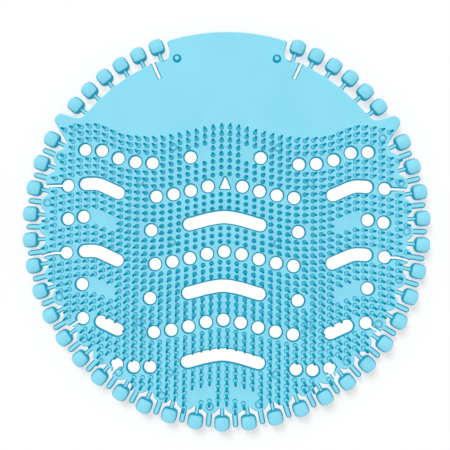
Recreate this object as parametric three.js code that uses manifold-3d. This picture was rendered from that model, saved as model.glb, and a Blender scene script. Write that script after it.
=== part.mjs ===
// Urinal deodorizer screen: one flexible moulding that lies in the bowl over the drain.
// A thin wavy-patterned plate carries a field of bristles that stop splashes, with round holes and
// curved slots that let water through, a bare pull tab at the top and soft bumpers round the rim.
// Millimetres. +X is right, +Y runs to the pull tab, +Z is up; the screen lies on the plane z = 0.

import * as THREE from "three";
import { mergeGeometries, mergeVertices } from "three/addons/utils/BufferGeometryUtils.js";
import Module from "manifold-3d";

const wasm = await Module();
wasm.setup();

// Plate
const PLATE_UNDERSIDE = 2.5; // height of the plate over the floor
const PLATE_THICKNESS = 2.0;
const BODY_RADIUS = 80.0; // rim of the plate between the bumpers
const TAB_REACH = 7.4; // how far the pull tab stands out past the rim
const TAB_HALF_WIDTH = 26.8;
const TAB_CORNER = 1.5; // rounding of the tab's two corners
const TAB_SIDE_HEADING = 95; // degrees: the way the tab's side faces under its corner

// Bumpers: barrels on short stems, all on one circle
const BUMPER_DIAMETER = 7.0;
const BUMPER_LENGTH = 7.2; // along the radius of the screen
const BUMPER_END_DIAMETER = 4.6; // of the flats at the two ends of the barrel
const BUMPER_CHAMFER = 1.5; // length over which the barrel narrows to its ends
const BUMPER_SIDES = 6;
const STEM_WIDTH = 2.0;
const STEM_LENGTH = 2.4; // from the rim to the bumper
const STEM_SEAT = 0.6; // how far a stem runs into its bumper
const LOWER_BUMPERS = 31; // evenly round the lower rim, from one horn to the other
const LOWER_FIRST = 63.975; // degrees from the top
const UPPER_BUMPERS = 6; // on each side of the tab
const UPPER_FIRST = 21.5; // degrees from the top
const UPPER_STEP = 6.0; // degrees
const NOTCH_CLEARANCE = 2.1; // between the tab and the first upper bumper

// Pins between the lower bumpers, each on a rounded lobe of the rim
const PIN_LENGTH = 5.5; // from the lobe
const PIN_WIDTH = 2.4;
const LOBE_RADIUS = 4.3;
const LOBE_RISE = 2.5; // how far the lobes stand out past the rim

// Horns: the two pointed corners between the upper and the lower bumpers
const HORN_ANGLE = 57.5; // degrees from the top, of the middle of the rounded tip
const HORN_RISE = 7.4; // of that middle past the rim
const HORN_ROUND = 3.0;
const HORN_VALLEY_ANGLE = 54.0; // degrees from the top
const HORN_VALLEY_RISE = 1.6; // past the rim

// Drain holes, slots and slits
const HOLE_DIAMETER = 5.5;
const HOLE_SIDES = 6;
const SLOT_WIDTH = 5.4;
const SLOT_END_STEPS = 3; // facets of each rounded slot end
const SLOT_LENGTH_STEP = 8; // length of the straight facets along a slot
const VENT_WIDTH = 4.8; // the small triangular vent in the middle
const VENT_HEIGHT = 5.8;
const VENT_RISE = 2.2; // of the vent's base below the line of holes
const SLIT_WIDTH = 1.0;
const TAB_SLIT_ANGLE = 24.4; // degrees from the top
const TAB_SLIT_DEPTH = 7.7;
const TAB_SLIT_WIDTH = 1.1;

// Bristles stand in straight columns, and their rows follow the wave
const COLUMN_PITCH = 3.68;
const ROW_PITCH = 3.0;
const FIRST_ROW = 44.05; // height of the top row at the crest in the middle
const BRISTLE_WIDTH = 2.2;
const BRISTLE_HEIGHT = 9.5;
const SIDE_BRISTLE_HEIGHT = 6.0; // beside the slots at the left and right
const BRISTLE_EDGE_GAP = 0.95; // from a bristle's axis to a hole, slot or bare patch
const BRISTLE_BORDER = 8.8; // bare border inside the rim
const SLIT_GAP = 1.5; // from a bristle's axis to a slit

// Feet under the plate
const FOOT_DIAMETER = 3.7;
const FOOT_SIDES = 6;
const FOOT_SEAT = 0.4; // how far a foot runs up into the plate

const PLATE_TOP = PLATE_UNDERSIDE + PLATE_THICKNESS;
const TAB_RADIUS = BODY_RADIUS + TAB_REACH;
const LOBE_REACH = BODY_RADIUS + LOBE_RISE;
const BUMPER_CIRCLE = BODY_RADIUS + STEM_LENGTH + BUMPER_LENGTH / 2;
const PIN_REACH = LOBE_REACH + PIN_LENGTH;
const LOWER_STEP = (360 - 2 * LOWER_FIRST) / (LOWER_BUMPERS - 1); // degrees
const BUMPER_HEIGHT = BUMPER_DIAMETER / 2; // of the bumper axes over the floor
const BRISTLE_RIM = BODY_RADIUS - BRISTLE_BORDER;

// The wave that rows, holes and slots follow: how far it lies below its crest, at a distance from
// the middle. It dips on both sides of the middle, rises to a second crest and falls to the rim.
const WAVE = [
  [0, 0],
  [7, 1.0],
  [14, 2.8],
  [22, 4.65],
  [30, 5.75],
  [36, 5.8],
  [42, 5.4],
  [46, 4.6],
  [51, 2.4],
  [56.5, 0],
  [62, -0.1],
  [67, 0.6],
  [73, 1.8],
  [82, 4.4],
];

// Lines of openings, one every five rows. Holes and slots are given by their distance from the
// middle, on both sides; a bare patch is a stretch of the line that has no bristles.
const LINE_ROWS = 5;
const FIRST_LINE_ROW = 3.5;
const LINES = [
  { holes: [15.5, 32.4, 40.0, 47.6, 55.1, 62.6], slots: [], bare: [[8, 12]] },
  { holes: [7.6, 15.2, 22.8, 30.4, 69.9], slots: [[46.2, 65.2]], bare: [[0, 3]] },
  { holes: [32.4, 62.6, 69.5], slots: [[-18.3, 18.3]], bare: [[49, 60]] },
  { holes: [0, 7.6, 15.2, 22.8, 30.4, 69.9], slots: [[46.2, 65.2]], bare: [] },
  { holes: [32.4, 62.6], slots: [[-18.3, 18.3]], bare: [[49, 66]] },
  { holes: [0, 7.6, 15.2, 22.8, 30.4, 61.9], slots: [[44.9, 55.3]], bare: [[55, 60]] },
  { holes: [31.8, 39.0, 46.4], slots: [[-18.3, 18.3]], bare: [] },
  { holes: [], slots: [], bare: [[4.6, 13.8]] },
];

// Slits that open the outermost hole of a line to the rim. Each bends at a place inside the rim
// and leaves it at an angle from the top.
const RIM_SLITS = [
  { line: 1, bendInside: 2.1, bendAngle: 77.3, mouthAngle: 78.4 },
  { line: 3, bendInside: 2.4, bendAngle: 99.6, mouthAngle: 100.4 },
  { line: 5, bendInside: 0.5, bendAngle: 123.9, mouthAngle: 123.9 },
  { line: 6, bendInside: -1.1, bendAngle: 143.3, mouthAngle: 143.4 },
];

// Feet, in pairs at both sides of the middle
const FEET = [
  [22.2, 74.8],
  [23.2, 34.7],
  [37.7, 19.3],
  [23.2, -7.6],
  [37.7, -42.9],
  [23.1, -64.8],
];

// Geometry helpers

function polar(radius, degreesFromTop, aside = 0) {
  const angle = THREE.MathUtils.degToRad(degreesFromTop);
  return new THREE.Vector2(
    radius * Math.sin(angle) + aside * Math.cos(angle),
    radius * Math.cos(angle) - aside * Math.sin(angle),
  );
}

function solidFrom(geometry) {
  const bare = geometry.clone();
  bare.deleteAttribute("normal");
  bare.deleteAttribute("uv");
  const merged = mergeVertices(bare);
  return new wasm.Manifold(
    new wasm.Mesh({
      numProp: 3,
      vertProperties: merged.attributes.position.array,
      triVerts: new Uint32Array(merged.index.array),
    }),
  );
}

function geometryFrom(solid) {
  const mesh = solid.getMesh();
  const geometry = new THREE.BufferGeometry();
  geometry.setAttribute("position", new THREE.BufferAttribute(mesh.vertProperties, 3));
  geometry.setIndex(new THREE.BufferAttribute(mesh.triVerts, 1));
  geometry.computeVertexNormals();
  return geometry;
}

function slab(points, bottom, top) {
  const shape = new THREE.Shape(points);
  const geometry = new THREE.ExtrudeGeometry(shape, { depth: top - bottom, bevelEnabled: false });
  return geometry.translate(0, 0, bottom);
}

// A cutter that runs past both faces of the plate
function cutter(points) {
  const past = PLATE_THICKNESS / 2;
  return slab(points, PLATE_UNDERSIDE - past, PLATE_TOP + past);
}

// The same shape at both sides of the middle, or once if it lies on it
function bothSides(x) {
  return x === 0 ? [1] : [1, -1];
}

function mirrored(points) {
  return points.map((point) => new THREE.Vector2(-point.x, point.y)).reverse();
}

// Wave and lines

function wave(x) {
  const distance = Math.min(Math.abs(x), WAVE[WAVE.length - 1][0]);
  const last = WAVE.length - 2;
  const found = WAVE.findIndex(([end]) => distance < end);
  const i = found < 0 ? last : Math.max(found - 1, 0);
  const [startX, startDrop] = WAVE[i];
  const [endX, endDrop] = WAVE[i + 1];
  const span = endX - startX;
  const slope = (a, b) => (b[1] - a[1]) / (b[0] - a[0]);
  const startSlope = i === 0 ? 0 : slope(WAVE[i - 1], WAVE[i + 1]);
  const endSlope = i === last ? slope(WAVE[i], WAVE[i + 1]) : slope(WAVE[i], WAVE[i + 2]);
  const t = (distance - startX) / span;
  const t2 = t * t;
  const t3 = t2 * t;
  return (
    (2 * t3 - 3 * t2 + 1) * startDrop +
    (t3 - 2 * t2 + t) * span * startSlope +
    (3 * t2 - 2 * t3) * endDrop +
    (t3 - t2) * span * endSlope
  );
}

function rowHeight(row, x) {
  return FIRST_ROW - ROW_PITCH * row - wave(x);
}

function lineHeight(line, x) {
  return rowHeight(FIRST_LINE_ROW + LINE_ROWS * line, x);
}

function onLine(line, x) {
  return new THREE.Vector2(x, lineHeight(line, x));
}

// Only a hole that lies whole inside the rim is made.
function isInsideRim(center) {
  return center.length() + HOLE_DIAMETER / 2 < BODY_RADIUS;
}

// Rim of the plate

const NOTCH_RADIUS = BUMPER_DIAMETER / 2 + NOTCH_CLEARANCE;
const NOTCH_FROM = 255; // degrees from the top, round the middle of the first upper bumper
const NOTCH_TO = 195; // degrees on from that bumper's own angle
const HORN_FROM = -20; // degrees from the top, round the middle of the horn's tip
const HORN_TO = 135;
const STEM_END = BUMPER_CIRCLE - BUMPER_LENGTH / 2 + STEM_SEAT;

// Corner radius of a polygon that covers as much as the circle that it stands for
function cornerRadius(diameter, sides) {
  const share = (sides / (2 * Math.PI)) * Math.sin((2 * Math.PI) / sides);
  return diameter / 2 / Math.sqrt(share);
}

function arc(center, radius, from, to, steps) {
  const points = [];
  for (let i = 0; i <= steps; i++) {
    points.push(polar(radius, from + ((to - from) * i) / steps).add(center));
  }
  return points;
}

function stem(degrees) {
  const half = STEM_WIDTH / 2;
  return [
    polar(BODY_RADIUS, degrees, -half),
    polar(STEM_END, degrees, -half),
    polar(STEM_END, degrees, half),
    polar(BODY_RADIUS, degrees, half),
  ];
}

// A lobe of the rim with its pin: shoulder, root, pin, root and shoulder
function lobe(degrees) {
  const center = LOBE_REACH - LOBE_RADIUS;
  const half = PIN_WIDTH / 2;
  const shoulder = LOBE_RADIUS * Math.SQRT1_2;
  return [
    polar(center + shoulder, degrees, -shoulder),
    polar(LOBE_REACH, degrees, -half),
    polar(PIN_REACH, degrees, -half),
    polar(PIN_REACH, degrees, half),
    polar(LOBE_REACH, degrees, half),
    polar(center + shoulder, degrees, shoulder),
  ];
}

// The top of the tab and its notch round the first upper bumper, from the middle outwards
function tabEdge() {
  const cornerCenter = new THREE.Vector2(TAB_HALF_WIDTH - TAB_CORNER, 0);
  cornerCenter.y = Math.sqrt((TAB_RADIUS - TAB_CORNER) ** 2 - cornerCenter.x ** 2);
  const cornerAngle = THREE.MathUtils.radToDeg(Math.atan2(cornerCenter.x, cornerCenter.y));
  const bumper = polar(BUMPER_CIRCLE, UPPER_FIRST);
  return [
    ...arc(new THREE.Vector2(), TAB_RADIUS, 0, cornerAngle, 4).slice(0, -1),
    ...arc(cornerCenter, TAB_CORNER, cornerAngle, TAB_SIDE_HEADING, 2),
    ...arc(bumper, NOTCH_RADIUS, NOTCH_FROM, UPPER_FIRST + NOTCH_TO, 2),
  ];
}

function hornEdge() {
  const valley = polar(BODY_RADIUS + HORN_VALLEY_RISE, HORN_VALLEY_ANGLE);
  const tip = polar(BODY_RADIUS + HORN_RISE, HORN_ANGLE);
  return [valley, ...arc(tip, HORN_ROUND, HORN_FROM, HORN_TO, 3)];
}

// From the middle of the tab to the right horn
function upperEdge() {
  const points = [...tabEdge()];
  for (let i = 0; i < UPPER_BUMPERS; i++) {
    points.push(...stem(UPPER_FIRST + UPPER_STEP * i));
  }
  return [...points, ...hornEdge()];
}

// From the right horn round to the left one: a stem for each bumper and a lobe between them
function lowerEdge() {
  const points = [];
  for (let i = 0; i < LOWER_BUMPERS; i++) {
    const degrees = LOWER_FIRST + LOWER_STEP * i;
    points.push(...stem(degrees));
    if (i < LOWER_BUMPERS - 1) points.push(...lobe(degrees + LOWER_STEP / 2));
  }
  return points;
}

function plate() {
  const right = upperEdge();
  const left = mirrored(right.slice(1));
  return solidFrom(slab([...right, ...lowerEdge(), ...left], PLATE_UNDERSIDE, PLATE_TOP));
}

// Openings

function hole(center) {
  const radius = cornerRadius(HOLE_DIAMETER, HOLE_SIDES);
  return cutter(arc(center, radius, 360, 360 / HOLE_SIDES, HOLE_SIDES - 1));
}

// A slot whose middle follows the wave on one line, with rounded ends
function slot(line, from, to) {
  const half = SLOT_WIDTH / 2;
  const start = from + half;
  const end = to - half;
  const steps = Math.max(1, Math.round((end - start) / SLOT_LENGTH_STEP));
  const middle = [];
  for (let i = 0; i <= steps; i++) {
    middle.push(onLine(line, start + ((end - start) * i) / steps));
  }
  const heading = (a, b) => THREE.MathUtils.radToDeg(Math.atan2(b.x - a.x, b.y - a.y));
  const first = heading(middle[1], middle[0]);
  const last = heading(middle[steps - 1], middle[steps]);
  const inner = middle.slice(1, -1);
  const side = (sign) => inner.map((point) => new THREE.Vector2(point.x, point.y + sign * half));
  return cutter([
    ...arc(middle[0], half, first - 90, first + 90, SLOT_END_STEPS),
    ...side(1),
    ...arc(middle[steps], half, last - 90, last + 90, SLOT_END_STEPS),
    ...side(-1).reverse(),
  ]);
}

// The triangular vent between the first two lines of the middle
function vent() {
  const base = lineHeight(1, 0) - VENT_RISE;
  return cutter([
    new THREE.Vector2(-VENT_WIDTH / 2, base),
    new THREE.Vector2(0, base + VENT_HEIGHT),
    new THREE.Vector2(VENT_WIDTH / 2, base),
  ]);
}

// A narrow cut along a bent line
function slit(points, width) {
  const offset = (sign) =>
    points.map((point, i) => {
      const before = points[Math.max(i - 1, 0)];
      const after = points[Math.min(i + 1, points.length - 1)];
      const along = after.clone().sub(before).normalize();
      return new THREE.Vector2(-along.y, along.x).multiplyScalar((sign * width) / 2).add(point);
    });
  return cutter([...offset(1), ...offset(-1).reverse()]);
}

// The middle of a rim slit: from its hole, through its bend, to a place outside the lobes
function slitPath({ line, bendInside, bendAngle, mouthAngle }) {
  const outermost = Math.max(...LINES[line].holes);
  return [
    onLine(line, outermost),
    polar(BODY_RADIUS - bendInside, bendAngle),
    polar(LOBE_REACH + SLIT_WIDTH, mouthAngle),
  ];
}

const SLIT_PATHS = RIM_SLITS.map(slitPath).filter(([start]) => isInsideRim(start));

function openings() {
  const cuts = [vent()];
  LINES.forEach(({ holes, slots }, line) => {
    for (const x of holes) {
      if (!isInsideRim(onLine(line, x))) continue;
      for (const sign of bothSides(x)) cuts.push(hole(onLine(line, sign * x)));
    }
    for (const [from, to] of slots) {
      cuts.push(slot(line, from, to));
      if (from > 0) cuts.push(slot(line, -to, -from));
    }
  });
  return cuts;
}

function slits() {
  const tabSlit = [BODY_RADIUS - TAB_SLIT_DEPTH, BODY_RADIUS + TAB_SLIT_WIDTH].map((radius) =>
    polar(radius, TAB_SLIT_ANGLE),
  );
  const cuts = [slit(tabSlit, TAB_SLIT_WIDTH), slit(mirrored(tabSlit), TAB_SLIT_WIDTH)];
  for (const path of SLIT_PATHS) {
    cuts.push(slit(path, SLIT_WIDTH), slit(mirrored(path), SLIT_WIDTH));
  }
  return cuts;
}

// Bumpers

function bumper(degrees) {
  const end = BUMPER_END_DIAMETER / 2;
  const half = BUMPER_LENGTH / 2;
  const full = half - BUMPER_CHAMFER;
  const profile = [
    new THREE.Vector2(0, -half),
    new THREE.Vector2(end, -half),
    new THREE.Vector2(BUMPER_DIAMETER / 2, -full),
    new THREE.Vector2(BUMPER_DIAMETER / 2, full),
    new THREE.Vector2(end, half),
    new THREE.Vector2(0, half),
  ];
  const center = polar(BUMPER_CIRCLE, degrees);
  const acrossFlats = Math.cos(Math.PI / BUMPER_SIDES);
  return new THREE.LatheGeometry(profile, BUMPER_SIDES)
    .scale(1 / acrossFlats, 1, 1)
    .rotateZ(-THREE.MathUtils.degToRad(degrees))
    .translate(center.x, center.y, BUMPER_HEIGHT);
}

function bumpers() {
  const barrels = [];
  for (let i = 0; i < LOWER_BUMPERS; i++) {
    barrels.push(bumper(LOWER_FIRST + LOWER_STEP * i));
  }
  for (let i = 0; i < UPPER_BUMPERS; i++) {
    const degrees = UPPER_FIRST + UPPER_STEP * i;
    barrels.push(bumper(degrees), bumper(-degrees));
  }
  return barrels;
}

// Bristles

// The lines' openings and bare patches each take the row above and the row below them.
function takenByLine(row, x) {
  const line = Math.floor((row - Math.floor(FIRST_LINE_ROW)) / LINE_ROWS);
  const isOnLine = (row - Math.floor(FIRST_LINE_ROW)) % LINE_ROWS < 2;
  if (row < FIRST_LINE_ROW - 1 || !isOnLine || !LINES[line]) return false;
  const { holes, slots, bare } = LINES[line];
  const radius = HOLE_DIAMETER / 2;
  const taken = [...holes.map((hole) => [hole - radius, hole + radius]), ...slots, ...bare];
  const distance = Math.abs(x);
  return taken.some(
    ([from, to]) => distance > from - BRISTLE_EDGE_GAP && distance < to + BRISTLE_EDGE_GAP,
  );
}

function nearSlit(x, y) {
  const point = new THREE.Vector3(Math.abs(x), y, 0);
  return SLIT_PATHS.some((path) => {
    const [start, bend, end] = path.map((place) => new THREE.Vector3(place.x, place.y, 0));
    return [new THREE.Line3(start, bend), new THREE.Line3(bend, end)].some(
      (piece) =>
        piece.closestPointToPoint(point, true, new THREE.Vector3()).distanceTo(point) < SLIT_GAP,
    );
  });
}

// Bristles are long in the middle and below, and shorter at the sides.
function bristleHeight(x, y) {
  const aside = THREE.MathUtils.smoothstep(Math.abs(x), 35, 68);
  const above = THREE.MathUtils.smoothstep(y, -55, -10);
  return THREE.MathUtils.lerp(BRISTLE_HEIGHT, SIDE_BRISTLE_HEIGHT, aside * above);
}

// A three-sided spike. Its corners meet those of its neighbours in the column.
function bristle(x, y) {
  const height = bristleHeight(x, y);
  const outward = Math.sign(x);
  return new THREE.ConeGeometry(1, height, 3)
    .rotateX(Math.PI / 2)
    .rotateZ((outward * Math.PI) / 2)
    .scale(BRISTLE_WIDTH / 1.5, ROW_PITCH / Math.sqrt(3), 1)
    .translate(x, y, PLATE_TOP + height / 2);
}

function bristles() {
  const spikes = [];
  const columns = Math.ceil(BRISTLE_RIM / COLUMN_PITCH);
  const rows = Math.ceil((FIRST_ROW + BRISTLE_RIM) / ROW_PITCH);
  for (let column = 0; column < columns; column++) {
    const distance = (column + 0.5) * COLUMN_PITCH;
    for (let row = 0; row < rows; row++) {
      const y = rowHeight(row, distance);
      const isInside = Math.hypot(distance, y) < BRISTLE_RIM;
      if (!isInside || takenByLine(row, distance) || nearSlit(distance, y)) continue;
      spikes.push(bristle(distance, y), bristle(-distance, y));
    }
  }
  return spikes;
}

// Feet

function feet() {
  const height = PLATE_UNDERSIDE + FOOT_SEAT;
  return FEET.flatMap(([x, y]) =>
    bothSides(x).map((sign) =>
      new THREE.CylinderGeometry(FOOT_DIAMETER / 2, FOOT_DIAMETER / 2, height, FOOT_SIDES)
        .rotateX(Math.PI / 2)
        .translate(sign * x, y, height / 2),
    ),
  );
}

// The whole moulding, with its origin under the middle of its outline
const screen = plate()
  .subtract(solidFrom(mergeGeometries(openings())))
  .subtract(solidFrom(mergeGeometries(slits())))
  .add(solidFrom(mergeGeometries(bumpers())))
  .add(solidFrom(mergeGeometries(feet())))
  .add(solidFrom(mergeGeometries(bristles())));

const material = new THREE.MeshStandardMaterial({
  color: 0x8fe3f9,
  roughness: 0.45,
  metalness: 0,
});

const mesh = new THREE.Mesh(geometryFrom(screen), material);
mesh.name = "screen";
mesh.geometry.computeBoundingBox();
const center = mesh.geometry.boundingBox.getCenter(new THREE.Vector3());
mesh.position.set(-center.x, -center.y, 0);

const group = new THREE.Group();
group.add(mesh);

export default group;
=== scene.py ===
"""Looks of the urinal deodorizer screen: one soft cyan moulding on a white floor.

The moulding is built in millimetres about the centre of its bumper circle, then moved and scaled to
metres at the end. Angles are degrees clockwise from the top of the screen, where the pull tab is.
"""

import math

import bmesh
import bpy
import numpy as np
from mathutils import Matrix, Vector, geometry, kdtree


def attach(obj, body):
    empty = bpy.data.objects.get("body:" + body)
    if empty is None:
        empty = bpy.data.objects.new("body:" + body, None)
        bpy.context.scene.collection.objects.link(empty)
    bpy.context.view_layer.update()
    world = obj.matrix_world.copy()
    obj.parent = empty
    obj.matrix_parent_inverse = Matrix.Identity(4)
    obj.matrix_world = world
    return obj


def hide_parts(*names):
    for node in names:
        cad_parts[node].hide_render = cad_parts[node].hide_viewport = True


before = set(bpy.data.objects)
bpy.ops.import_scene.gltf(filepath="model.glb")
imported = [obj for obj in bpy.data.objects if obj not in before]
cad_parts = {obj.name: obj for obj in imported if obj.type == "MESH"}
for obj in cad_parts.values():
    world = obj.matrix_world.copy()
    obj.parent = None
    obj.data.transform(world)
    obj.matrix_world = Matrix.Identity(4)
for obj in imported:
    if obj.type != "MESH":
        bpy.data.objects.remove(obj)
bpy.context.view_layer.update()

# Plate
PLATE_UNDERSIDE = 2.5
PLATE_THICKNESS = 2.0
PLATE_TOP = PLATE_UNDERSIDE + PLATE_THICKNESS
BODY_RADIUS = 80.0
BODY_SIDES = 360
FRAME_RISE = 1.1  # from the origin of the frame to the centre of the bumper circle
STRETCH_ACROSS = 1.003
STRETCH_ALONG = 0.997
RIM_ROUND = 0.6
OPENING_ROUND = 0.65
TAB_RADIUS = 87.4
TAB_HALF_WIDTH = 26.8
TAB_CORNER = 1.5
TAB_SIDE_HEADING = 95
TAB_ROOT = 70.0

# Bumpers, stems and pins
BUMPER_CIRCLE = 86.3
BUMPER_DIAMETER = 7.0
BUMPER_LENGTH = 6.5
BUMPER_SQUARENESS = 3.4
BUMPER_SIDES = 24
BUMPER_HEIGHT = BUMPER_DIAMETER / 2
STEM_WIDTH = 2.0
STEM_SEAT = 1.2
STEM_SHARE = 0.98
BAR_FLATNESS = 0.97
BAR_SIDES = 16
LOWER_BUMPERS = 31
LOWER_FIRST = 63.975
LOWER_STEP = (360 - 2 * LOWER_FIRST) / (LOWER_BUMPERS - 1)
UPPER_BUMPERS = 6
UPPER_CIRCLE = 85.9
UPPER_FIRST = 21.5
UPPER_STEP = 6.0
NOTCH_EDGE = [
    (26.85, 82.2),
    (26.3, 80.8),
    (25.87, 79.3),
    (25.65, 77.8),
    (25.95, 76.3),
    (26.6, 75.1),
    (27.5, 74.2),
    (28.6, 73.7),
    (31.0, 73.7),
]
NOTCH_OUTSIDE = [(34.5, 78.0), (32.0, 86.0), (28.0, 85.0)]
PIN_REACH = 88.3
PIN_WIDTH = 2.55
LOBE_RADIUS = 4.3
LOBE_REACH = 82.5
LOBE_SIDES = 40
BAR_MIDDLE = PLATE_UNDERSIDE + PLATE_THICKNESS / 2
SHARP_ANGLE = 48
NEARLY_FLAT = 1e-3

# Horns
HORN_TIP = (73.7, 46.9)
HORN_ROUND = 3.0
HORN_FROM = -20
HORN_TO = 135
HORN_ROOT = [(62.0, 36.0), (58.0, 46.0)]
HORN_VALLEY = [(62.0, 50.9), (63.5, 49.2), (64.8, 48.3), (66.0, 48.0), (68.0, 48.3), (70.0, 48.9)]
HORN_UNDERSIDE = [(71.8, 38.0), (71.2, 36.8), (71.0, 35.2)]

# Openings
HOLE_DIAMETER = 5.35
HOLE_SIDES = 32
SLOT_WIDTH = 5.4
SLOT_STEP = 1.5
SIDE_SLOT_DROP = 0.4
SLOT_SAG = 0.25  # how much further a middle slot drops towards its ends
SLIT_WIDTH = 1.0
VENT_WIDTH = 4.8
VENT_HEIGHT = 5.8
VENT_RISE = 2.2
VENT_ROUND = 0.35
TAB_SLIT_ANGLE = 24.4
TAB_SLIT_DEPTH = 7.7
TAB_SLIT_WIDTH = 1.1
RIM_SLITS = [
    [(69.9, 16.9), (73.0, 17.0), (79.5, 16.8), (84.0, 16.6)],
    [(69.9, -13.1), (75.0, -13.1), (77.0, -13.4), (79.0, -14.0), (84.0, -16.0)],
    [(61.9, -41.8), (64.2, -43.5), (67.5, -45.6), (71.0, -48.0)],
    [(46.4, -62.3), (47.8, -64.4), (49.1, -66.4), (51.5, -70.0)],
]

# Bristles
COLUMN_PITCH = 3.68
ROW_PITCH = 3.0
FIRST_ROW = 44.05
BRISTLE_EDGE_GAP = 0.95
BRISTLE_HEIGHT = 9.5
SIDE_BRISTLE_HEIGHT = 6.0
LOWER_LOSS = 1.3
SHORT_ASIDE = (35, 68)
SHORT_ABOVE = (-55, -10)
LOSS_BELOW = (35, 60)
BRISTLE_BASE_RADIUS = 1.16
BRISTLE_FLARE = [(1.14, 0.05), (0.84, 0.4)]
BRISTLE_TIP_RADIUS = 0.5
TIP_NARROWING = 0.72
TIP_DROP = 0.3
BRISTLE_SIDES = 8
BRISTLE_SEAT = 0.3
BRISTLE_LEAN = (0.034, -0.066)  # to the right and away from the tab, for each mm of height

# Feet and the small domes on the tab
FOOT_RADIUS = 1.85
FOOT_CLEARANCE = 0.6
FOOT_CHAMFER = 0.3
FOOT_SEAT = 0.4
FOOT_SIDES = 20
RING_WIDTH = 0.75
RING_RISE = 0.32
RING_SIDES = 24
DOME_RADIUS = 1.95
DOME_RISE = 0.9
DOME_SIDES = 32
FEET = [(23.2, 34.7), (37.7, 19.3), (23.2, -7.6), (37.7, -42.9), (23.1, -64.8)]
HORN_FOOT = (-67.3, 43.3)
TAB_DOME = (22.2, 74.8)
RIM_FOOT_RADIUS = 79.4
RIM_FOOT_FIRST = 183.9
RIM_FOOT_STEP = -15.47
RIM_FEET = [-7, -6, -4, -3, -2, -1, 0, 1, 2, 3, 4, 5, 6, 7, 8]

# The wave that rows, holes and slots follow, as distances from the middle with the drop there
WAVE = [
    (0, 0),
    (7, 1.0),
    (14, 2.85),
    (22, 4.65),
    (30, 5.9),
    (36, 5.9),
    (42, 5.4),
    (46, 4.6),
    (51, 2.45),
    (56.5, 0.25),
    (62, 0.25),
    (67, 0.95),
    (73, 2.15),
    (82, 4.7),
]
LOW_SAG = 0.8  # how much further the lowest rows drop at the sides
SAG_ASIDE = (30, 47)
SAG_BELOW = (38, 62)

# Lines of openings, one every five rows, by their distance from the middle. Bare stretches have no
# bristles, and a drop is how much lower a middle slot lies.
LINE_ROWS = 5
FIRST_LINE_ROW = 3.5
LINES = [
    {"holes": [15.5, 32.4, 40.0, 47.6, 55.1, 62.6], "slots": [], "bare": [(8, 12)]},
    {"holes": [7.6, 15.2, 22.8, 30.4, 69.9], "slots": [(44.6, 64.7)], "bare": [(0, 3)]},
    {"holes": [32.4, 62.6, 69.5], "slots": [(-18.3, 18.3)], "bare": [(49, 60)], "drop": -0.3},
    {"holes": [0, 7.6, 15.2, 22.8, 30.4, 69.9], "slots": [(44.5, 64.5)], "bare": []},
    {"holes": [32.4, 62.6], "slots": [(-18.3, 18.3)], "bare": [(49, 66)], "drop": 0.05},
    {"holes": [0, 7.6, 15.2, 22.8, 30.4, 61.9], "slots": [(43.8, 56.4)], "bare": [(55, 60)]},
    {"holes": [31.8, 39.0, 46.4], "slots": [(-18.3, 18.3)], "bare": [], "drop": 0.15},
    {"holes": [], "slots": [], "bare": [(4.6, 13.8)]},
]


# Places

def polar(radius, degrees, aside=0.0):
    angle = math.radians(degrees)
    x = radius * math.sin(angle) + aside * math.cos(angle)
    y = radius * math.cos(angle) - aside * math.sin(angle)
    return (x, y)


def arc(center, radius, start, end, steps):
    points = []
    for i in range(steps + 1):
        x, y = polar(radius, start + (end - start) * i / steps)
        points.append((center[0] + x, center[1] + y))
    return points


def disc(center, radius, sides):
    return arc(center, radius, 0, 360, sides)[:-1]


def mirrored(points):
    return [(-x, y) for x, y in reversed(points)]


def wave(x):
    distance = min(abs(x), WAVE[-1][0])
    last = len(WAVE) - 2
    i = 0
    while i < last and distance >= WAVE[i + 1][0]:
        i += 1
    start_x, start_drop = WAVE[i]
    end_x, end_drop = WAVE[i + 1]

    def slope(a, b):
        return (b[1] - a[1]) / (b[0] - a[0])

    start_slope = 0 if i == 0 else slope(WAVE[i - 1], WAVE[i + 1])
    end_slope = slope(WAVE[i], WAVE[i + 1]) if i == last else slope(WAVE[i], WAVE[i + 2])
    span = end_x - start_x
    t = (distance - start_x) / span
    return (
        (2 * t**3 - 3 * t**2 + 1) * start_drop
        + (t**3 - 2 * t**2 + t) * span * start_slope
        + (3 * t**2 - 2 * t**3) * end_drop
        + (t**3 - t**2) * span * end_slope
    )


def smoothstep(value, low, high):
    t = min(max((value - low) / (high - low), 0.0), 1.0)
    return t * t * (3 - 2 * t)


def row_height(row, x):
    y = FIRST_ROW - ROW_PITCH * row - wave(x)
    return y - LOW_SAG * smoothstep(abs(x), *SAG_ASIDE) * smoothstep(-y, *SAG_BELOW)


def line_height(line, x):
    return row_height(FIRST_LINE_ROW + LINE_ROWS * line, x)


# Meshes

def mesh_object(name, verts, faces):
    mesh = bpy.data.meshes.new(name)
    mesh.from_pydata([tuple(v) for v in verts], [], [tuple(f) for f in faces])
    bm = bmesh.new()
    bm.from_mesh(mesh)
    bmesh.ops.recalc_face_normals(bm, faces=bm.faces)
    bm.to_mesh(mesh)
    bm.free()
    obj = bpy.data.objects.new(name, mesh)
    bpy.context.scene.collection.objects.link(obj)
    return obj


def prisms(name, outlines, bottom, top):
    verts = []
    faces = []
    for outline in outlines:
        first = len(verts)
        count = len(outline)
        verts += [(x, y, bottom) for x, y in outline]
        verts += [(x, y, top) for x, y in outline]
        faces.append(range(first, first + count))
        faces.append(range(first + count, first + 2 * count))
        for i in range(count):
            j = (i + 1) % count
            faces.append((first + i, first + j, first + count + j, first + count + i))
    return mesh_object(name, verts, faces)


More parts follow.
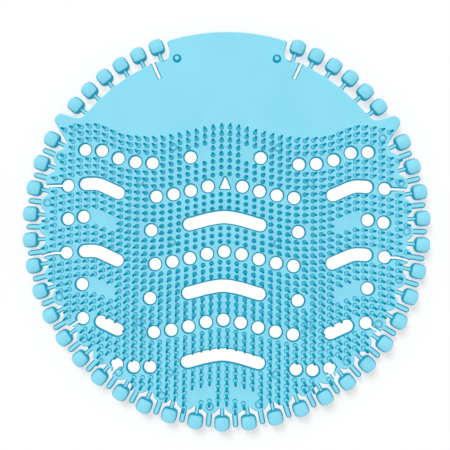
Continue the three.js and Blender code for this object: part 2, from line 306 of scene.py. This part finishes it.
def joined(target, other, operation):
    modifier = target.modifiers.new("join", "BOOLEAN")
    modifier.operation = operation
    modifier.solver = "MANIFOLD"
    modifier.object = other
    shown = target.evaluated_get(bpy.context.evaluated_depsgraph_get())
    result = bpy.data.meshes.new_from_object(shown)
    target.modifiers.clear()
    target.data = result
    bpy.data.objects.remove(other)
    return target


# A ring-by-ring surface of revolution: each ring is a list of points, with a point at both ends
def add_turned(verts, faces, rings, start, end):
    sides = len(rings[0])
    first = len(verts)
    verts.append(start)
    for ring in rings:
        verts.extend(ring)
    verts.append(end)
    last = len(verts) - 1
    for i in range(sides):
        j = (i + 1) % sides
        faces.append((first, first + 1 + j, first + 1 + i))
        for k in range(len(rings) - 1):
            a = first + 1 + k * sides
            b = a + sides
            faces.append((a + i, a + j, b + j, b + i))
        tail = last - sides
        faces.append((last, tail + i, tail + j))


# Outline of the plate with all its openings

def tab_outline():
    center_x = TAB_HALF_WIDTH - TAB_CORNER
    center_y = math.sqrt((TAB_RADIUS - TAB_CORNER) ** 2 - center_x**2)
    corner_angle = math.degrees(math.atan2(center_x, center_y))
    right = arc((0, 0), TAB_RADIUS, 0, corner_angle, 24)[:-1]
    right += arc((center_x, center_y), TAB_CORNER, corner_angle, TAB_SIDE_HEADING, 6)
    right += [(TAB_HALF_WIDTH, TAB_ROOT)]
    return mirrored(right[1:]) + right


def horn_outline():
    tip = arc(HORN_TIP, HORN_ROUND, HORN_FROM, HORN_TO, 12)
    return HORN_ROOT[1:] + HORN_VALLEY + tip + HORN_UNDERSIDE + HORN_ROOT[:1]


def slot_outline(line, start, end):
    half = SLOT_WIDTH / 2
    steps = max(2, round((end - start) / SLOT_STEP))
    middle = []
    for i in range(steps + 1):
        x = start + half + (end - start - 2 * half) * i / steps
        drop = SIDE_SLOT_DROP
        if start < 0 < end:
            drop = LINES[line]["drop"] + SLOT_SAG * (2 * x / (end - start)) ** 2
        middle.append((x, line_height(line, x) - drop))

    def heading(a, b):
        return math.degrees(math.atan2(b[0] - a[0], b[1] - a[1]))

    first = heading(middle[1], middle[0])
    last = heading(middle[-2], middle[-1])
    upper = []
    lower = []
    for i in range(1, steps):
        before = Vector(middle[i - 1])
        after = Vector(middle[i + 1])
        along = (after - before).normalized()
        aside = Vector((-along.y, along.x)) * half
        upper.append(tuple(Vector(middle[i]) + aside))
        lower.append(tuple(Vector(middle[i]) - aside))
    return (
        arc(middle[0], half, first - 90, first + 90, 12)
        + upper
        + arc(middle[-1], half, last - 90, last + 90, 12)
        + lower[::-1]
    )


def slit_outline(path, width):
    sides = {1: [], -1: []}
    for i, point in enumerate(path):
        before = Vector(path[max(i - 1, 0)])
        after = Vector(path[min(i + 1, len(path) - 1)])
        along = (after - before).normalized()
        for sign, side in sides.items():
            offset = Vector((-along.y, along.x)) * (sign * width / 2)
            side.append(tuple(Vector(point) + offset))
    return sides[1] + sides[-1][::-1]


def vent_outline():
    base = line_height(1, 0) - VENT_RISE
    corners = [(-VENT_WIDTH / 2, base), (0, base + VENT_HEIGHT), (VENT_WIDTH / 2, base)]
    points = []
    for i, corner in enumerate(corners):
        here = Vector(corner)
        before = (Vector(corners[i - 1]) - here).normalized()
        after = (Vector(corners[(i + 1) % 3]) - here).normalized()
        bisector = (before + after).normalized()
        half_angle = before.angle(after) / 2
        center = here + bisector * (VENT_ROUND / math.sin(half_angle))
        reach = VENT_ROUND / math.tan(half_angle)
        start = here + before * reach - center
        end = here + after * reach - center
        for k in range(5):
            points.append(tuple(center + start.lerp(end, k / 4).normalized() * VENT_ROUND))
    return points


def opening_outlines():
    outlines = [vent_outline()]
    for line, row in enumerate(LINES):
        for x in row["holes"]:
            for sign in (1, -1) if x else (1,):
                outlines.append(disc((sign * x, line_height(line, x)), HOLE_DIAMETER / 2, HOLE_SIDES))
        for start, end in row["slots"]:
            outlines.append(slot_outline(line, start, end))
            if start > 0:
                outlines.append(slot_outline(line, -end, -start))
    return outlines


TAB_SLIT = [
    polar(BODY_RADIUS - TAB_SLIT_DEPTH, TAB_SLIT_ANGLE),
    polar(BODY_RADIUS + TAB_SLIT_WIDTH, TAB_SLIT_ANGLE),
]


def plate_blank():
    bottom = PLATE_UNDERSIDE
    top = PLATE_TOP
    blank = prisms("blank", [disc((0, 0), BODY_RADIUS, BODY_SIDES)], bottom, top)
    added = [tab_outline()]
    horn = horn_outline()
    added += [horn, mirrored(horn)]
    for degrees in pin_angles():
        added.append(disc(polar(LOBE_REACH - LOBE_RADIUS, degrees), LOBE_RADIUS, LOBE_SIDES))
    blank = joined(blank, prisms("added", added, bottom, top), "UNION")
    under = bottom - 1
    over = top + 1
    notch = NOTCH_EDGE + NOTCH_OUTSIDE
    blank = joined(blank, prisms("notches", [notch, mirrored(notch)], under, over), "DIFFERENCE")
    blank = joined(blank, prisms("openings", opening_outlines(), under, over), "DIFFERENCE")
    cuts = [slit_outline(TAB_SLIT, TAB_SLIT_WIDTH)]
    cuts += [slit_outline(path, SLIT_WIDTH) for path in RIM_SLITS]
    cuts += [mirrored(cut) for cut in cuts]
    return joined(blank, prisms("slits", cuts, under, over), "DIFFERENCE")


# The closed loops round the top face, with the plate on their left
def outline_loops(obj):
    bm = bmesh.new()
    bm.from_mesh(obj.data)
    following = {}
    for face in bm.faces:
        if face.normal.z < 0.9:
            continue
        for loop in face.loops:
            walls = [f for f in loop.edge.link_faces if abs(f.normal.z) < 0.5]
            if walls:
                following[loop.vert.index] = loop.link_loop_next.vert.index
    places = [tuple(v.co.xy) for v in bm.verts]
    bm.free()
    loops = []
    while following:
        start, here = following.popitem()
        loop = [places[start]]
        while here != start:
            loop.append(places[here])
            here = following.pop(here)
        loops.append(tidy(loop))
    loops.sort(key=len, reverse=True)
    return loops


# Drops points that crowd their neighbour or lie on a straight line
def tidy(loop, closest=0.12, flattest=0.003):
    points = []
    for point in loop:
        if not points or math.dist(point, points[-1]) > closest:
            points.append(point)
    if math.dist(points[0], points[-1]) <= closest:
        points.pop()
    kept = []
    for i, point in enumerate(points):
        before = Vector(points[i - 1])
        after = Vector(points[(i + 1) % len(points)])
        here = Vector(point)
        a = (here - before).normalized()
        b = (after - here).normalized()
        if abs(a.cross(b)) > flattest or a.dot(b) < 0:
            kept.append(point)
    return kept


def inset(points, distance):
    moved = []
    count = len(points)
    for i in range(count):
        before = Vector(points[i - 1])
        here = Vector(points[i])
        after = Vector(points[(i + 1) % count])
        a = (here - before).normalized()
        b = (after - here).normalized()
        left_a = Vector((-a.y, a.x))
        left_b = Vector((-b.y, b.x))
        spread = max(1 + left_a.dot(left_b), 0.5)
        moved.append(tuple(here + (left_a + left_b) / spread * distance))
    return moved


# How far in and how high the edge of the sheet runs, from its underside to its top
def edge_section(rounding):
    profile = []
    for degrees in (0, 30, 60, 90):
        angle = math.radians(degrees)
        profile.append((rounding * (1 - math.sin(angle)), rounding * (1 - math.cos(angle))))
    section = [(d, PLATE_UNDERSIDE + z) for d, z in profile]
    return section + [(d, PLATE_TOP - z) for d, z in reversed(profile)]


def rounded_plate(loops):
    verts = []
    faces = []
    starts = []
    for loop in loops:
        section = edge_section(RIM_ROUND if loop is loops[0] else OPENING_ROUND)
        count = len(loop)
        starts.append(len(verts))
        for d, z in section:
            verts += [(x, y, z) for x, y in inset(loop, d)]
        for k in range(len(section) - 1):
            a = starts[-1] + k * count
            b = a + count
            for i in range(count):
                j = (i + 1) % count
                faces.append((a + i, a + j, b + j, b + i))
    flat = []
    rounds = []
    owners = []
    for start, loop in zip(starts, loops):
        rounds.append(list(range(len(flat), len(flat) + len(loop))))
        flat += [Vector(point) for point in loop]
        owners += [(start, len(loop), i) for i in range(len(loop))]
    anticlockwise = [rounds[0]] + [hole[::-1] for hole in rounds[1:]]
    filled = geometry.delaunay_2d_cdt(flat, [], anticlockwise, 1, 1e-7)
    top_ring = len(section) - 1
    for triangle, inside_of in zip(filled[2], filled[5]):
        if len(inside_of) > 1:
            continue
        picked = [owners[filled[3][i][0]] for i in triangle]
        faces.append([start + i for start, _, i in picked])
        faces.append([start + top_ring * count + i for start, count, i in reversed(picked)])
    return mesh_object("plate", verts, faces)


# Bristles

def taken_by_line(row, x):
    first = math.floor(FIRST_LINE_ROW)
    line = (row - first) // LINE_ROWS
    if row < first or (row - first) % LINE_ROWS > 1 or line >= len(LINES):
        return False
    radius = HOLE_DIAMETER / 2
    taken = [(hole - radius, hole + radius) for hole in LINES[line]["holes"]]
    taken += LINES[line]["slots"] + LINES[line]["bare"]
    gap = BRISTLE_EDGE_GAP
    return any(start - gap < x < end + gap for start, end in taken)


def is_inside(point, loop):
    x, y = point
    inside = False
    for i in range(len(loop)):
        ax, ay = loop[i - 1]
        bx, by = loop[i]
        if (ay > y) != (by > y) and x < ax + (y - ay) / (by - ay) * (bx - ax):
            inside = not inside
    return inside


def bristle_places(outer):
    tree = near_line(outer)
    places = []
    columns = math.ceil(LOBE_REACH / COLUMN_PITCH)
    rows = math.ceil((FIRST_ROW + LOBE_REACH) / ROW_PITCH)
    for column in range(columns):
        x = (column + 0.5) * COLUMN_PITCH
        for row in range(rows):
            y = row_height(row, x)
            if math.hypot(x, y) > LOBE_REACH + HORN_ROUND or taken_by_line(row, x):
                continue
            gap = tree.find((x, y, 0))[2]
            if gap > BRISTLE_BASE_RADIUS and is_inside((x, y), outer):
                places += [(x, y), (-x, y)]
    rim_feet = rim_foot_places()
    return [place for place in places if not is_outside_foot(place, rim_feet)]


def is_outside_foot(place, rim_feet):
    if math.hypot(*place) < RIM_FOOT_RADIUS - FOOT_CLEARANCE:
        return False
    return any(math.dist(place, foot) < FOOT_RADIUS + FOOT_CLEARANCE for foot in rim_feet)


def bristle_height(x, y):
    aside = smoothstep(abs(x), *SHORT_ASIDE)
    above = smoothstep(y, *SHORT_ABOVE)
    below = smoothstep(-y, *LOSS_BELOW)
    height = BRISTLE_HEIGHT - LOWER_LOSS * below
    return height + (SIDE_BRISTLE_HEIGHT - height) * aside * above


def leaning(x, y, rise):
    return (x + BRISTLE_LEAN[0] * max(rise, 0), y + BRISTLE_LEAN[1] * max(rise, 0))


def bristles(places):
    verts = []
    faces = []
    for x, y in places:
        height = bristle_height(x, y)
        shoulder = height - BRISTLE_TIP_RADIUS
        profile = [
            (BRISTLE_BASE_RADIUS, -BRISTLE_SEAT),
            *BRISTLE_FLARE,
            (BRISTLE_TIP_RADIUS, shoulder),
            (BRISTLE_TIP_RADIUS * TIP_NARROWING, height - BRISTLE_TIP_RADIUS * TIP_DROP),
        ]
        rings = []
        for radius, z in profile:
            ring = disc(leaning(x, y, z), radius, BRISTLE_SIDES)
            rings.append([(px, py, PLATE_TOP + z) for px, py in ring])
        start = (x, y, PLATE_TOP - BRISTLE_SEAT)
        tip = (*leaning(x, y, height), PLATE_TOP + height)
        add_turned(verts, faces, rings, start, tip)
    return mesh_object("bristles", verts, faces)


# Bars and barrels that lie along a radius of the screen

def add_barrel(verts, faces, degrees, middle, profile, sides, squash=1.0):
    rings = []
    for along, radius in profile[1:-1]:
        ring = []
        for i in range(sides):
            angle = 2 * math.pi * (i + 0.5) / sides
            x, y = polar(along, degrees, radius * math.cos(angle))
            ring.append((x, y, middle + radius * squash * math.sin(angle)))
        rings.append(ring)
    start = (*polar(profile[0][0], degrees), middle)
    end = (*polar(profile[-1][0], degrees), middle)
    add_turned(verts, faces, rings, start, end)


def upper_angles():
    right = [UPPER_FIRST + UPPER_STEP * i for i in range(UPPER_BUMPERS)]
    return right + [-degrees for degrees in right]


def lower_angles():
    return [LOWER_FIRST + LOWER_STEP * i for i in range(LOWER_BUMPERS)]


def pin_angles():
    return [degrees + LOWER_STEP / 2 for degrees in lower_angles()[:-1]]


def bumpers():
    half = BUMPER_LENGTH / 2
    steps = (0, 0.6, 0.82, 0.93, 0.985, 1)
    shares = [-share for share in reversed(steps[1:])] + list(steps)
    verts = []
    faces = []
    for circle, angles in ((BUMPER_CIRCLE, lower_angles()), (UPPER_CIRCLE, upper_angles())):
        profile = []
        for share in shares:
            rest = 1 - abs(share) ** BUMPER_SQUARENESS
            radius = BUMPER_DIAMETER / 2 * rest ** (1 / BUMPER_SQUARENESS)
            profile.append((circle + half * share, radius))
        for degrees in angles:
            add_barrel(verts, faces, degrees, BUMPER_HEIGHT, profile, BUMPER_SIDES)
    return mesh_object("bumpers", verts, faces)


def stems():
    inner = BODY_RADIUS - STEM_SEAT
    outer = BUMPER_CIRCLE - BUMPER_LENGTH / 2 + 1
    radius = STEM_WIDTH / 2 * STEM_SHARE
    profile = [(inner, 0), (inner, radius), (outer, radius), (outer, 0)]
    verts = []
    faces = []
    for degrees in lower_angles() + upper_angles():
        add_barrel(verts, faces, degrees, BAR_MIDDLE, profile, BAR_SIDES, BAR_FLATNESS)
    return mesh_object("stems", verts, faces)


def pins():
    inner = LOBE_REACH - LOBE_RADIUS
    radius = PIN_WIDTH / 2
    profile = [(inner, 0), (inner, radius)]
    for degrees in (0, 25, 50, 75):
        angle = math.radians(degrees)
        profile.append((PIN_REACH - radius + radius * math.sin(angle), radius * math.cos(angle)))
    profile.append((PIN_REACH, 0))
    squash = BAR_FLATNESS * PLATE_THICKNESS / PIN_WIDTH
    verts = []
    faces = []
    for degrees in pin_angles():
        add_barrel(verts, faces, degrees, BAR_MIDDLE, profile, BAR_SIDES, squash)
    return mesh_object("pins", verts, faces)


# Feet, the rings that show over them, and the domes

def rim_foot_places():
    return [polar(RIM_FOOT_RADIUS, RIM_FOOT_FIRST + RIM_FOOT_STEP * j) for j in RIM_FEET]


def foot_places():
    places = []
    for x, y in FEET + [TAB_DOME]:
        places += [(x, y), (-x, y)]
    return places + rim_foot_places() + [HORN_FOOT]


def turned_upright(name, places, profile, sides):
    verts = []
    faces = []
    for x, y in places:
        rings = [[(px, py, z) for px, py in disc((x, y), radius, sides)] for radius, z in profile]
        add_turned(verts, faces, rings, (x, y, profile[0][1]), (x, y, profile[-1][1]))
    return mesh_object(name, verts, faces)


def feet():
    top = PLATE_UNDERSIDE + FOOT_SEAT
    profile = [(FOOT_RADIUS - FOOT_CHAMFER, 0), (FOOT_RADIUS, FOOT_CHAMFER), (FOOT_RADIUS, top)]
    return turned_upright("feet", foot_places(), profile, FOOT_SIDES)


def domes():
    profile = [(DOME_RADIUS, PLATE_TOP - 0.3), (DOME_RADIUS, PLATE_TOP + 0.1)]
    for degrees in (25, 50, 75):
        angle = math.radians(degrees)
        rise = DOME_RISE * math.sin(angle)
        profile.append((DOME_RADIUS * math.cos(angle), PLATE_TOP + rise))
    x, y = TAB_DOME
    return turned_upright("domes", [(x, y), (-x, y)], profile, DOME_SIDES)


def foot_rings():
    verts = []
    faces = []
    section = []
    for i in range(8):
        angle = math.radians(45 * i + 22.5)
        across = FOOT_RADIUS - RING_WIDTH / 2 + RING_WIDTH / 2 * math.cos(angle)
        section.append((across, PLATE_TOP + RING_RISE * math.sin(angle)))
    tab_domes = {TAB_DOME, (-TAB_DOME[0], TAB_DOME[1])}
    for place in foot_places():
        if place in tab_domes:
            continue
        first = len(verts)
        for radius, z in section:
            verts += [(x, y, z) for x, y in disc(place, radius, RING_SIDES)]
        for k in range(len(section)):
            a = first + k * RING_SIDES
            b = first + (k + 1) % len(section) * RING_SIDES
            for i in range(RING_SIDES):
                j = (i + 1) % RING_SIDES
                faces.append((a + i, a + j, b + j, b + i))
    return mesh_object("rings", verts, faces)


# Marks for the material, which places painted shade and highlights by them: how far up its bristle a
# point is, and whether it is on the edge of an opening, on a stem or pin, or on the rim of the sheet

def near_line(points, spacing=0.3):
    dense = []
    for i in range(len(points)):
        a = Vector(points[i - 1])
        b = Vector(points[i])
        pieces = max(1, math.ceil((b - a).length / spacing))
        dense += [a.lerp(b, k / pieces) for k in range(pieces)]
    tree = kdtree.KDTree(len(dense))
    for i, point in enumerate(dense):
        tree.insert((point.x, point.y, 0), i)
    tree.balance()
    return tree


def mark(obj, places, loops):
    mesh = obj.data
    count = len(mesh.vertices)
    co = np.empty(count * 3)
    mesh.vertices.foreach_get("co", co)
    co = co.reshape(-1, 3)
    tree = kdtree.KDTree(len(places))
    for i, (x, y) in enumerate(places):
        tree.insert((x, y, 0), i)
    tree.balance()
    share = np.zeros(count)
    cut = np.zeros(count)
    bar = np.zeros(count)
    rim = np.zeros(count)
    outline = near_line(loops[0])
    stem_from = BODY_RADIUS - RIM_ROUND
    pin_from = LOBE_REACH - RIM_ROUND
    bars = [(degrees, STEM_WIDTH / 2, stem_from) for degrees in lower_angles() + upper_angles()]
    bars += [(degrees, PIN_WIDTH / 2, pin_from) for degrees in pin_angles()]
    paths = []
    for path in RIM_SLITS + [TAB_SLIT]:
        paths += list(zip(path[:-1], path[1:]))
    radius = np.hypot(co[:, 0], co[:, 1])
    for i, (x, y, z) in enumerate(co):
        if z > PLATE_TOP + NEARLY_FLAT:
            rise = z - PLATE_TOP
            place, _, gap = tree.find((x - BRISTLE_LEAN[0] * rise, y - BRISTLE_LEAN[1] * rise, 0))
            if gap < BRISTLE_BASE_RADIUS * 1.02 and rise > RING_RISE + 0.01:
                share[i] = rise / bristle_height(place.x, place.y)
            elif radius[i] < BODY_RADIUS + 1.5:
                cut[i] = 1.0
        else:
            near_slit = False
            if radius[i] > BODY_RADIUS - TAB_SLIT_DEPTH - 1:
                here = Vector((abs(x), y))
                for a, b in paths:
                    close, along = geometry.intersect_point_line(here, a, b)
                    along = min(max(along, 0), 1)
                    close = Vector(a).lerp(Vector(b), along)
                    near_slit = near_slit or (close - here).length < SLIT_WIDTH
            if near_slit or radius[i] < BODY_RADIUS - RIM_ROUND - 0.5:
                cut[i] = 1.0
            elif outline.find((x, y, 0))[2] < RIM_ROUND + 0.05:
                rim[i] = 1.0
    angles = np.degrees(np.arctan2(co[:, 0], co[:, 1]))
    flat = np.abs(co[:, 2] - BAR_MIDDLE) < PLATE_THICKNESS / 2 + NEARLY_FLAT
    for degrees, half, inner in bars:
        turn = (angles - degrees + 180) % 360 - 180
        aside = np.abs(radius * np.sin(np.radians(turn)))
        bar[(np.abs(turn) < 5) & (aside < half + 0.02) & (radius > inner) & flat] = 1
    rim[bar > 0] = 0
    for name, values in (("share", share), ("cut", cut), ("bar", bar), ("rim", rim)):
        attribute = mesh.attributes.new(name, "FLOAT", "POINT")
        attribute.data.foreach_set("value", values)


def lies_at(face, level):
    return all(abs(v.co.z - level) < NEARLY_FLAT for v in face.verts)


def shade(obj):
    bm = bmesh.new()
    bm.from_mesh(obj.data)
    for face in bm.faces:
        face.smooth = not (lies_at(face, PLATE_TOP) or lies_at(face, PLATE_UNDERSIDE))
    for edge in bm.edges:
        if len(edge.link_faces) == 2 and edge.calc_face_angle(0) > math.radians(SHARP_ANGLE):
            edge.smooth = False
    bm.to_mesh(obj.data)
    bm.free()


# Material of soft cyan plastic

def node(tree, kind, **settings):
    made = tree.nodes.new(kind)
    for name, value in settings.items():
        setattr(made, name, value)
    return made


def map_range(tree, value, low, high, to_low=0.0, to_high=1.0):
    made = node(tree, "ShaderNodeMapRange", interpolation_type="SMOOTHSTEP")
    tree.links.new(value, made.inputs["Value"])
    for name, number in zip(("From Min", "From Max", "To Min", "To Max"), (low, high, to_low, to_high)):
        made.inputs[name].default_value = number
    return made.outputs["Result"]


def math_node(tree, operation, a, b):
    made = node(tree, "ShaderNodeMath", operation=operation)
    for socket, value in zip(made.inputs, (a, b)):
        if isinstance(value, (int, float)):
            socket.default_value = value
        else:
            tree.links.new(value, socket)
    return made.outputs[0]


def mixed(tree, factor, a, b):
    made = node(tree, "ShaderNodeMix", data_type="RGBA")
    tree.links.new(factor, made.inputs[0])
    for socket, value in ((made.inputs[6], a), (made.inputs[7], b)):
        if isinstance(value, tuple):
            socket.default_value = value
        else:
            tree.links.new(value, socket)
    return made.outputs[2]


# 1 for rays from the camera and for reflections of the white surroundings, 0 for the rest
def seen_directly(tree):
    path = node(tree, "ShaderNodeLightPath").outputs
    return math_node(tree, "MAXIMUM", path["Is Camera Ray"], path["Is Glossy Ray"])


def srgb(red, green, blue):
    channels = []
    for value in (red, green, blue):
        share = value / 255
        channels.append(share / 12.92 if share <= 0.04045 else ((share + 0.055) / 1.055) ** 2.4)
    return (*channels, 1.0)


# LIGHT is the plastic's own colour. PALE is painted highlight; INNER, CORE, DEEP and DARK are painted
# shade on the rim, walls, edges, bars and bristles.
LIGHT = srgb(142, 223, 245)
PALE = srgb(225, 250, 255)
INNER = srgb(128, 217, 238)
CORE = srgb(0, 163, 195)
DEEP = srgb(0, 150, 181)
DARK = srgb(0, 128, 158)
# Strengths of a painted glow, an emission that stands in for light passing through the plastic
PLATE_GLOW = 0.88
BUMPER_GLOW = 0.68


def screen_material():
    material = bpy.data.materials.new("cyan_plastic")
    material.use_nodes = True
    tree = material.node_tree
    tree.nodes.clear()
    output = node(tree, "ShaderNodeOutputMaterial")
    shader = node(tree, "ShaderNodeBsdfPrincipled")
    tree.links.new(shader.outputs[0], output.inputs[0])
    place = node(tree, "ShaderNodeTexCoord").outputs["Object"]
    normal = node(tree, "ShaderNodeSeparateXYZ")
    tree.links.new(node(tree, "ShaderNodeNewGeometry").outputs["Normal"], normal.inputs[0])
    up = normal.outputs["Z"]
    share = node(tree, "ShaderNodeAttribute", attribute_name="share").outputs["Fac"]
    cut = node(tree, "ShaderNodeAttribute", attribute_name="cut").outputs["Fac"]
    bar = node(tree, "ShaderNodeAttribute", attribute_name="bar").outputs["Fac"]
    rim = node(tree, "ShaderNodeAttribute", attribute_name="rim").outputs["Fac"]

    mottle = node(tree, "ShaderNodeTexNoise")
    mottle.inputs["Scale"].default_value = 60
    mottle.inputs["Detail"].default_value = 3
    tree.links.new(place, mottle.inputs["Vector"])
    body = mixed(tree, map_range(tree, mottle.outputs["Fac"], 0.35, 0.7), LIGHT, srgb(138, 220, 243))

    # Painted highlight and shade: the rim is painted pale where it faces the back, towards the key
    # light, and deeper where it faces the front. Steep walls are painted deeper everywhere, as shade
    # that stands in for light running further through them.
    back = map_range(tree, normal.outputs["Y"], 0.05, 0.35)
    back_rim = math_node(tree, "MULTIPLY", rim, back)
    painted_rim_highlight = math_node(tree, "MULTIPLY", back_rim, map_range(tree, up, 1.0, 0.93))
    body = mixed(tree, painted_rim_highlight, body, PALE)
    front = map_range(tree, normal.outputs["Y"], -0.05, -0.35)
    front_rim = math_node(tree, "MULTIPLY", rim, front)
    low = math_node(tree, "MULTIPLY", front_rim, map_range(tree, up, 0.93, 0.75))
    body = mixed(tree, low, body, DEEP)
    painted_steep_shade = map_range(tree, up, 0.72, 0.3)
    body = mixed(tree, painted_steep_shade, body, DEEP)
    # Painted shade: round openings and slits, and on the rings and domes, marked surfaces are painted
    # deep where they turn away from straight up
    edge = math_node(tree, "MULTIPLY", cut, map_range(tree, up, 0.995, 0.93))
    body = mixed(tree, edge, body, DEEP)
    # Painted shade: stems and pins are painted deep along their sides, leaving a light line along the
    # top
    side = math_node(tree, "MULTIPLY", bar, map_range(tree, up, 0.95, 0.78))
    body = mixed(tree, side, body, DEEP)

    # Bristles, in painted shade: a dark ring at the base, a paler foot that is painted deeper towards
    # the middle of the screen, then a deeper shaft that ends in a dark tip
    away = node(tree, "ShaderNodeVectorMath", operation="LENGTH")
    tree.links.new(place, away.inputs[0])
    outer = map_range(tree, away.outputs["Value"], 0.02, 0.07)
    foot = mixed(tree, outer, CORE, INNER)
    bristle = mixed(tree, map_range(tree, share, 0.035, 0.075), DEEP, foot)
    bristle = mixed(tree, map_range(tree, share, 0.28, 0.5), bristle, CORE)
    bristle = mixed(tree, map_range(tree, share, 0.75, 0.95), bristle, DARK)
    on_bristle = map_range(tree, share, 0.0, 0.01)
    body = mixed(tree, on_bristle, body, bristle)

    # Painted light: the whole sheet gets an emission, standing in for light passing through it, so the
    # shade its own bristles cast stays light; the bumpers get less of it.
    glow = map_range(tree, away.outputs["Value"], 0.0815, 0.084, PLATE_GLOW, BUMPER_GLOW)
    own = node(tree, "ShaderNodeVectorMath", operation="SCALE")
    tree.links.new(body, own.inputs[0])
    tree.links.new(math_node(tree, "SUBTRACT", 1, glow), own.inputs["Scale"])
    tree.links.new(own.outputs[0], shader.inputs["Base Color"])
    tree.links.new(body, shader.inputs["Emission Color"])
    tree.links.new(glow, shader.inputs["Emission Strength"])

    grain = node(tree, "ShaderNodeTexNoise")
    grain.inputs["Scale"].default_value = 900
    grain.inputs["Detail"].default_value = 4
    tree.links.new(place, grain.inputs["Vector"])
    roughness = map_range(tree, grain.outputs["Fac"], 0.3, 0.7, 0.36, 0.48)
    tree.links.new(roughness, shader.inputs["Roughness"])
    bump = node(tree, "ShaderNodeBump")
    bump.inputs["Strength"].default_value = 0.12
    bump.inputs["Distance"].default_value = 0.0002
    tree.links.new(grain.outputs["Fac"], bump.inputs["Height"])
    tree.links.new(bump.outputs[0], shader.inputs["Normal"])
    shader.inputs["IOR"].default_value = 1.46
    shader.inputs["Specular IOR Level"].default_value = 0.12
    return material


def floor_material():
    material = bpy.data.materials.new("white_floor")
    material.use_nodes = True
    tree = material.node_tree
    tree.nodes.clear()
    output = node(tree, "ShaderNodeOutputMaterial")
    diffuse = node(tree, "ShaderNodeBsdfDiffuse")
    diffuse.inputs["Color"].default_value = (0.86, 0.86, 0.86, 1)
    glow = node(tree, "ShaderNodeEmission")
    glow.inputs["Color"].default_value = (1, 1, 1, 1)
    glow.inputs["Strength"].default_value = 1.15
    mix = node(tree, "ShaderNodeMixShader")
    seen = seen_directly(tree)
    away = node(tree, "ShaderNodeVectorMath", operation="LENGTH")
    tree.links.new(node(tree, "ShaderNodeTexCoord").outputs["Object"], away.inputs[0])
    # Painted light: the floor glows more under the screen, washing out the shade it casts into the
    # openings, and less beyond the bumpers, where its cast shadow shows
    own_light = map_range(tree, away.outputs["Value"], 0.078, 0.088, 0.84, 0.5)
    tree.links.new(math_node(tree, "MULTIPLY", seen, own_light), mix.inputs[0])
    tree.links.new(diffuse.outputs[0], mix.inputs[1])
    tree.links.new(glow.outputs[0], mix.inputs[2])
    tree.links.new(mix.outputs[0], output.inputs[0])
    return material


# The moulding

blank = plate_blank()
loops = outline_loops(blank)
bpy.data.objects.remove(blank)
places = bristle_places(loops[0])
screen = rounded_plate(loops)
for part in (stems(), pins(), bumpers(), feet(), domes(), foot_rings(), bristles(places)):
    screen = joined(screen, part, "UNION")
mark(screen, places, loops)
shade(screen)
stretch = Matrix.Diagonal((STRETCH_ACROSS, STRETCH_ALONG, 1, 1))
screen.data.transform(Matrix.Scale(0.001, 4) @ Matrix.Translation((0, FRAME_RISE, 0)) @ stretch)
screen.name = "screen_moulding"
screen.data.name = "screen_moulding"
screen.data.materials.clear()
screen.data.materials.append(screen_material())
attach(screen, "root")
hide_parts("screen")

# Floor

FLOOR_REACH = 3.0
FLOOR_GAP = 0.0002
corners = [(x * FLOOR_REACH, y * FLOOR_REACH, 0) for x, y in ((-1, -1), (1, -1), (1, 1), (-1, 1))]
floor = mesh_object("floor", corners, [(0, 1, 2, 3)])
floor.location.z = -FLOOR_GAP
floor.data.materials.append(floor_material())

# Light

WORLD_LIGHT = 0.5
SUN_LIGHT = 2.0
SUN_ANGLE = 25
SUN_HEADING = (0.35, -0.75, -1)
world = bpy.context.scene.world or bpy.data.worlds.new("world")
bpy.context.scene.world = world
world.use_nodes = True
background = world.node_tree.nodes["Background"]
background.inputs["Color"].default_value = (1, 1, 1, 1)
seen = map_range(world.node_tree, seen_directly(world.node_tree), 0, 1, WORLD_LIGHT, 1)
world.node_tree.links.new(seen, background.inputs["Strength"])
lamp = bpy.data.lights.new("key", "SUN")
lamp.energy = SUN_LIGHT
lamp.angle = math.radians(SUN_ANGLE)
key = bpy.data.objects.new("key", lamp)
bpy.context.scene.collection.objects.link(key)
key.rotation_euler = Vector(SUN_HEADING).to_track_quat("-Z", "Y").to_euler()

# Camera

CAMERA_PLACE = Vector((0.00749, -0.00928, 0.25885))
CAMERA_TARGET = Vector((0.00017, 0.00139, 0.0045))
CAMERA_UP = Vector((-0.0122, 0.9990, 0.0423))
FOCAL_PIXELS = 578.0
FRAME_PIXELS = 450
camera_data = bpy.data.cameras.new("camera")
camera_data.sensor_width = 36
camera_data.lens = FOCAL_PIXELS / FRAME_PIXELS * camera_data.sensor_width
camera_data.clip_start = 0.01
camera = bpy.data.objects.new("camera", camera_data)
bpy.context.scene.collection.objects.link(camera)
forward = (CAMERA_TARGET - CAMERA_PLACE).normalized()
right = forward.cross(CAMERA_UP).normalized()
up = right.cross(forward)
turn = Matrix((right, up, -forward)).transposed().to_4x4()
camera.matrix_world = Matrix.Translation(CAMERA_PLACE) @ turn
bpy.context.scene.camera = camera
bpy.context.scene.view_settings.view_transform = "Standard"
